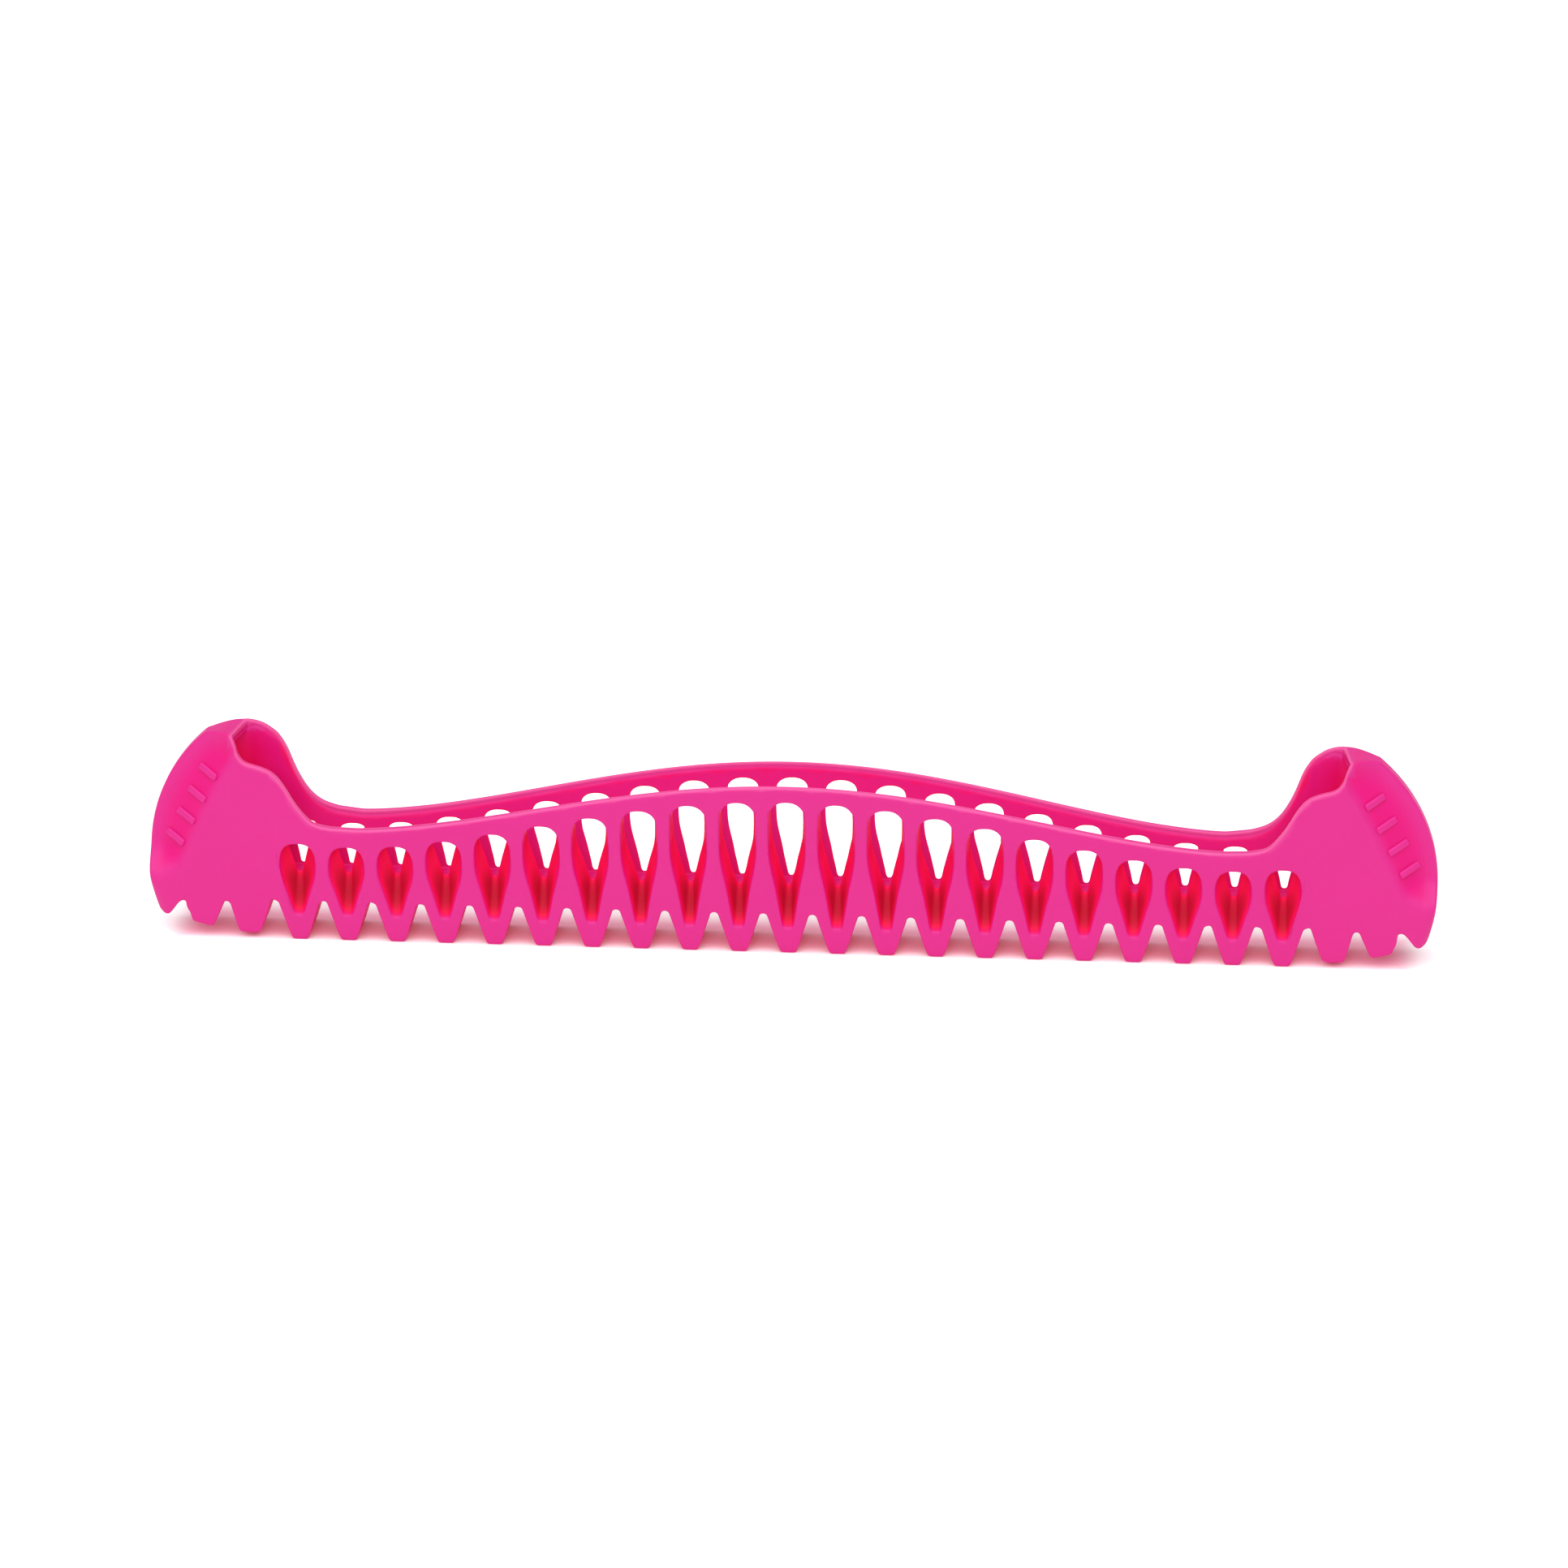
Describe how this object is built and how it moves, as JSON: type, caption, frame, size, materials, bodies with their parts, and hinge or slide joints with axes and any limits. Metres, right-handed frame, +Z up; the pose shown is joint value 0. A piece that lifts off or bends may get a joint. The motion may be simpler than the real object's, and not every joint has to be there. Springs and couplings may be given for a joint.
{
  "type": "elastic skate blade guard",
  "caption": "Soft elastic guard for an ice skate blade: slotted channel with open windows, notched feet that let it stretch, and a hooked cup at each end.",
  "frame": {"origin": "centre of the guard's footprint, on the surface the feet stand on", "axes": "+X along the blade, +Y across it, +Z up out of the channel"},
  "size_m": [0.2618, 0.0158, 0.044],
  "materials": {
    "elastomer": "satin"
  },
  "bodies": {
    "link_centre": {"link_centre": "elastomer"},
    "link_left_01": {"link_left_01": "elastomer"},
    "link_left_02": {"link_left_02": "elastomer"},
    "link_left_03": {"link_left_03": "elastomer"},
    "link_left_04": {"link_left_04": "elastomer"},
    "link_left_05": {"link_left_05": "elastomer"},
    "link_left_06": {"link_left_06": "elastomer"},
    "link_left_07": {"link_left_07": "elastomer"},
    "link_left_08": {"link_left_08": "elastomer"},
    "link_left_09": {"link_left_09": "elastomer"},
    "link_left_10": {"link_left_10": "elastomer"},
    "link_right_01": {"link_right_01": "elastomer"},
    "link_right_02": {"link_right_02": "elastomer"},
    "link_right_03": {"link_right_03": "elastomer"},
    "link_right_04": {"link_right_04": "elastomer"},
    "link_right_05": {"link_right_05": "elastomer"},
    "link_right_06": {"link_right_06": "elastomer"},
    "link_right_07": {"link_right_07": "elastomer"},
    "link_right_08": {"link_right_08": "elastomer"},
    "link_right_09": {"link_right_09": "elastomer"},
    "link_right_10": {"link_right_10": "elastomer"},
    "cup_left": {"cup_left": "elastomer"},
    "cup_right": {"cup_right": "elastomer"}
  },
  "joints": [
    {"name": "stretch_right_01", "type": "slide", "parent": "link_centre", "child": "link_right_01", "axis": [1, 0, 0], "range_m": [0, 0.0011], "stiffness_N_per_m": 8000},
    {"name": "stretch_right_02", "type": "slide", "parent": "link_right_01", "child": "link_right_02", "axis": [1, 0, 0], "range_m": [0, 0.0011], "stiffness_N_per_m": 8000},
    {"name": "stretch_right_03", "type": "slide", "parent": "link_right_02", "child": "link_right_03", "axis": [1, 0, 0], "range_m": [0, 0.0011], "stiffness_N_per_m": 8000},
    {"name": "stretch_right_04", "type": "slide", "parent": "link_right_03", "child": "link_right_04", "axis": [1, 0, 0], "range_m": [0, 0.0011], "stiffness_N_per_m": 8000},
    {"name": "stretch_right_05", "type": "slide", "parent": "link_right_04", "child": "link_right_05", "axis": [1, 0, 0], "range_m": [0, 0.0011], "stiffness_N_per_m": 8000},
    {"name": "stretch_right_06", "type": "slide", "parent": "link_right_05", "child": "link_right_06", "axis": [1, 0, 0], "range_m": [0, 0.0011], "stiffness_N_per_m": 8000},
    {"name": "stretch_right_07", "type": "slide", "parent": "link_right_06", "child": "link_right_07", "axis": [1, 0, 0], "range_m": [0, 0.0011], "stiffness_N_per_m": 8000},
    {"name": "stretch_right_08", "type": "slide", "parent": "link_right_07", "child": "link_right_08", "axis": [1, 0, 0], "range_m": [0, 0.0011], "stiffness_N_per_m": 8000},
    {"name": "stretch_right_09", "type": "slide", "parent": "link_right_08", "child": "link_right_09", "axis": [1, 0, 0], "range_m": [0, 0.0011], "stiffness_N_per_m": 8000},
    {"name": "stretch_right_10", "type": "slide", "parent": "link_right_09", "child": "link_right_10", "axis": [1, 0, 0], "range_m": [0, 0.0011], "stiffness_N_per_m": 8000},
    {"name": "tilt_cup_right", "type": "hinge", "parent": "link_right_10", "child": "cup_right", "pos_m": [0.105, 0, 0.0087], "axis": [0, 1, 0], "range_deg": [0, 10], "stiffness_Nm_per_rad": 0.6},
    {"name": "stretch_left_01", "type": "slide", "parent": "link_centre", "child": "link_left_01", "axis": [-1, 0, 0], "range_m": [0, 0.0011], "stiffness_N_per_m": 8000},
    {"name": "stretch_left_02", "type": "slide", "parent": "link_left_01", "child": "link_left_02", "axis": [-1, 0, 0], "range_m": [0, 0.0011], "stiffness_N_per_m": 8000},
    {"name": "stretch_left_03", "type": "slide", "parent": "link_left_02", "child": "link_left_03", "axis": [-1, 0, 0], "range_m": [0, 0.0011], "stiffness_N_per_m": 8000},
    {"name": "stretch_left_04", "type": "slide", "parent": "link_left_03", "child": "link_left_04", "axis": [-1, 0, 0], "range_m": [0, 0.0011], "stiffness_N_per_m": 8000},
    {"name": "stretch_left_05", "type": "slide", "parent": "link_left_04", "child": "link_left_05", "axis": [-1, 0, 0], "range_m": [0, 0.0011], "stiffness_N_per_m": 8000},
    {"name": "stretch_left_06", "type": "slide", "parent": "link_left_05", "child": "link_left_06", "axis": [-1, 0, 0], "range_m": [0, 0.0011], "stiffness_N_per_m": 8000},
    {"name": "stretch_left_07", "type": "slide", "parent": "link_left_06", "child": "link_left_07", "axis": [-1, 0, 0], "range_m": [0, 0.0011], "stiffness_N_per_m": 8000},
    {"name": "stretch_left_08", "type": "slide", "parent": "link_left_07", "child": "link_left_08", "axis": [-1, 0, 0], "range_m": [0, 0.0011], "stiffness_N_per_m": 8000},
    {"name": "stretch_left_09", "type": "slide", "parent": "link_left_08", "child": "link_left_09", "axis": [-1, 0, 0], "range_m": [0, 0.0011], "stiffness_N_per_m": 8000},
    {"name": "stretch_left_10", "type": "slide", "parent": "link_left_09", "child": "link_left_10", "axis": [-1, 0, 0], "range_m": [0, 0.0011], "stiffness_N_per_m": 8000},
    {"name": "tilt_cup_left", "type": "hinge", "parent": "link_left_10", "child": "cup_left", "pos_m": [-0.105, 0, 0.0087], "axis": [0, -1, 0], "range_deg": [0, 10], "stiffness_Nm_per_rad": 0.6}
  ],
  "couplings": [
    {"joint": "stretch_right_02", "follows": "stretch_right_01", "ratio": 1},
    {"joint": "stretch_right_03", "follows": "stretch_right_01", "ratio": 1},
    {"joint": "stretch_right_04", "follows": "stretch_right_01", "ratio": 1},
    {"joint": "stretch_right_05", "follows": "stretch_right_01", "ratio": 1},
    {"joint": "stretch_right_06", "follows": "stretch_right_01", "ratio": 1},
    {"joint": "stretch_right_07", "follows": "stretch_right_01", "ratio": 1},
    {"joint": "stretch_right_08", "follows": "stretch_right_01", "ratio": 1},
    {"joint": "stretch_right_09", "follows": "stretch_right_01", "ratio": 1},
    {"joint": "stretch_right_10", "follows": "stretch_right_01", "ratio": 1},
    {"joint": "stretch_left_01", "follows": "stretch_right_01", "ratio": 1},
    {"joint": "stretch_left_02", "follows": "stretch_right_01", "ratio": 1},
    {"joint": "stretch_left_03", "follows": "stretch_right_01", "ratio": 1},
    {"joint": "stretch_left_04", "follows": "stretch_right_01", "ratio": 1},
    {"joint": "stretch_left_05", "follows": "stretch_right_01", "ratio": 1},
    {"joint": "stretch_left_06", "follows": "stretch_right_01", "ratio": 1},
    {"joint": "stretch_left_07", "follows": "stretch_right_01", "ratio": 1},
    {"joint": "stretch_left_08", "follows": "stretch_right_01", "ratio": 1},
    {"joint": "stretch_left_09", "follows": "stretch_right_01", "ratio": 1},
    {"joint": "stretch_left_10", "follows": "stretch_right_01", "ratio": 1}
  ]
}
